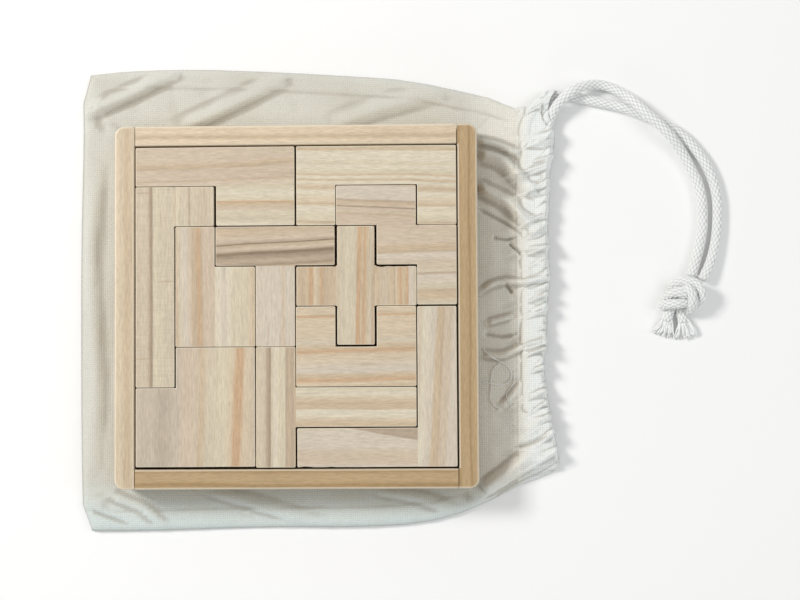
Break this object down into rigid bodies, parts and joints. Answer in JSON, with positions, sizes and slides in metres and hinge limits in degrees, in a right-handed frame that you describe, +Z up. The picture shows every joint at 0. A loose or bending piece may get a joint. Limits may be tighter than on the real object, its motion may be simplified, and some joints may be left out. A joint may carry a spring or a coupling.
{
  "type": "wooden packing puzzle",
  "caption": "Flat polyomino packing puzzle: loose glued wooden tiles fill a square wooden tray that lies on its cotton drawstring storage bag",
  "frame": {"origin": "on the surface that the bag lies on, under the middle of the tray", "axes": "+Z up out of the tray's open face; +Y to the tray's back rail; +X to the bag's drawn end with the drawstring"},
  "size_m": [0.2713, 0.1954, 0.0231],
  "materials": {
    "tile_wood": "satin, bare fine sanded",
    "rail_wood": "satin, thin clear coat",
    "plywood": "satin",
    "cotton_cloth": "matte plain weave",
    "cotton_cord": "matte braid"
  },
  "bodies": {
    "bag": {"bag_back_panel": "cotton_cloth", "bag_front_panel": "cotton_cloth", "hem_casing": "cotton_cloth", "drawstring_in_casing": "cotton_cord", "drawstring_strand_a": "cotton_cord", "drawstring_strand_b": "cotton_cord", "drawstring_knot": "cotton_cord", "cord_tail_a": "cotton_cord", "cord_tail_b": "cotton_cord"},
    "tray": {"tray_base": "plywood", "rail_left": "rail_wood", "rail_right": "rail_wood", "rail_back": "rail_wood", "rail_front": "rail_wood"},
    "ramp_tile": {"ramp_bar": "tile_wood", "ramp_foot": "tile_wood"},
    "bridge_tile": {"bridge_bar": "tile_wood", "bridge_left_foot": "tile_wood", "bridge_right_foot": "tile_wood"},
    "thumb_tile": {"thumb_bar": "tile_wood", "thumb_cube": "tile_wood"},
    "stair_tile": {"stair_top": "tile_wood", "stair_middle": "tile_wood", "stair_foot": "tile_wood"},
    "tee_tile": {"tee_bar": "tile_wood", "tee_stem": "tile_wood"},
    "flag_tile": {"flag_long_bar": "tile_wood", "flag_short_bar": "tile_wood"},
    "plus_tile": {"plus_bar": "tile_wood", "plus_left_arm": "tile_wood", "plus_right_arm": "tile_wood"},
    "cup_tile": {"cup_base": "tile_wood", "cup_left_wall": "tile_wood", "cup_right_wall": "tile_wood"},
    "big_tile": {"big_top": "tile_wood", "big_body": "tile_wood"},
    "hammer_tile": {"hammer_head": "tile_wood", "hammer_handle": "tile_wood"},
    "angle_tile": {"angle_long_arm": "tile_wood", "angle_short_arm": "tile_wood"}
  },
  "joints": [
    {"name": "tray_lift", "type": "slide", "parent": "bag", "child": "tray", "axis": [0, 0, 1], "range_m": [0, 0.05]},
    {"name": "ramp_lift", "type": "slide", "parent": "tray", "child": "ramp_tile", "axis": [0, 0, 1], "range_m": [0, 0.035]},
    {"name": "bridge_lift", "type": "slide", "parent": "tray", "child": "bridge_tile", "axis": [0, 0, 1], "range_m": [0, 0.035]},
    {"name": "thumb_lift", "type": "slide", "parent": "tray", "child": "thumb_tile", "axis": [0, 0, 1], "range_m": [0, 0.035]},
    {"name": "stair_lift", "type": "slide", "parent": "tray", "child": "stair_tile", "axis": [0, 0, 1], "range_m": [0, 0.035]},
    {"name": "tee_lift", "type": "slide", "parent": "tray", "child": "tee_tile", "axis": [0, 0, 1], "range_m": [0, 0.035]},
    {"name": "flag_lift", "type": "slide", "parent": "tray", "child": "flag_tile", "axis": [0, 0, 1], "range_m": [0, 0.035]},
    {"name": "plus_lift", "type": "slide", "parent": "tray", "child": "plus_tile", "axis": [0, 0, 1], "range_m": [0, 0.035]},
    {"name": "cup_lift", "type": "slide", "parent": "tray", "child": "cup_tile", "axis": [0, 0, 1], "range_m": [0, 0.035]},
    {"name": "big_lift", "type": "slide", "parent": "tray", "child": "big_tile", "axis": [0, 0, 1], "range_m": [0, 0.035]},
    {"name": "hammer_lift", "type": "slide", "parent": "tray", "child": "hammer_tile", "axis": [0, 0, 1], "range_m": [0, 0.035]},
    {"name": "angle_lift", "type": "slide", "parent": "tray", "child": "angle_tile", "axis": [0, 0, 1], "range_m": [0, 0.035]}
  ]
}
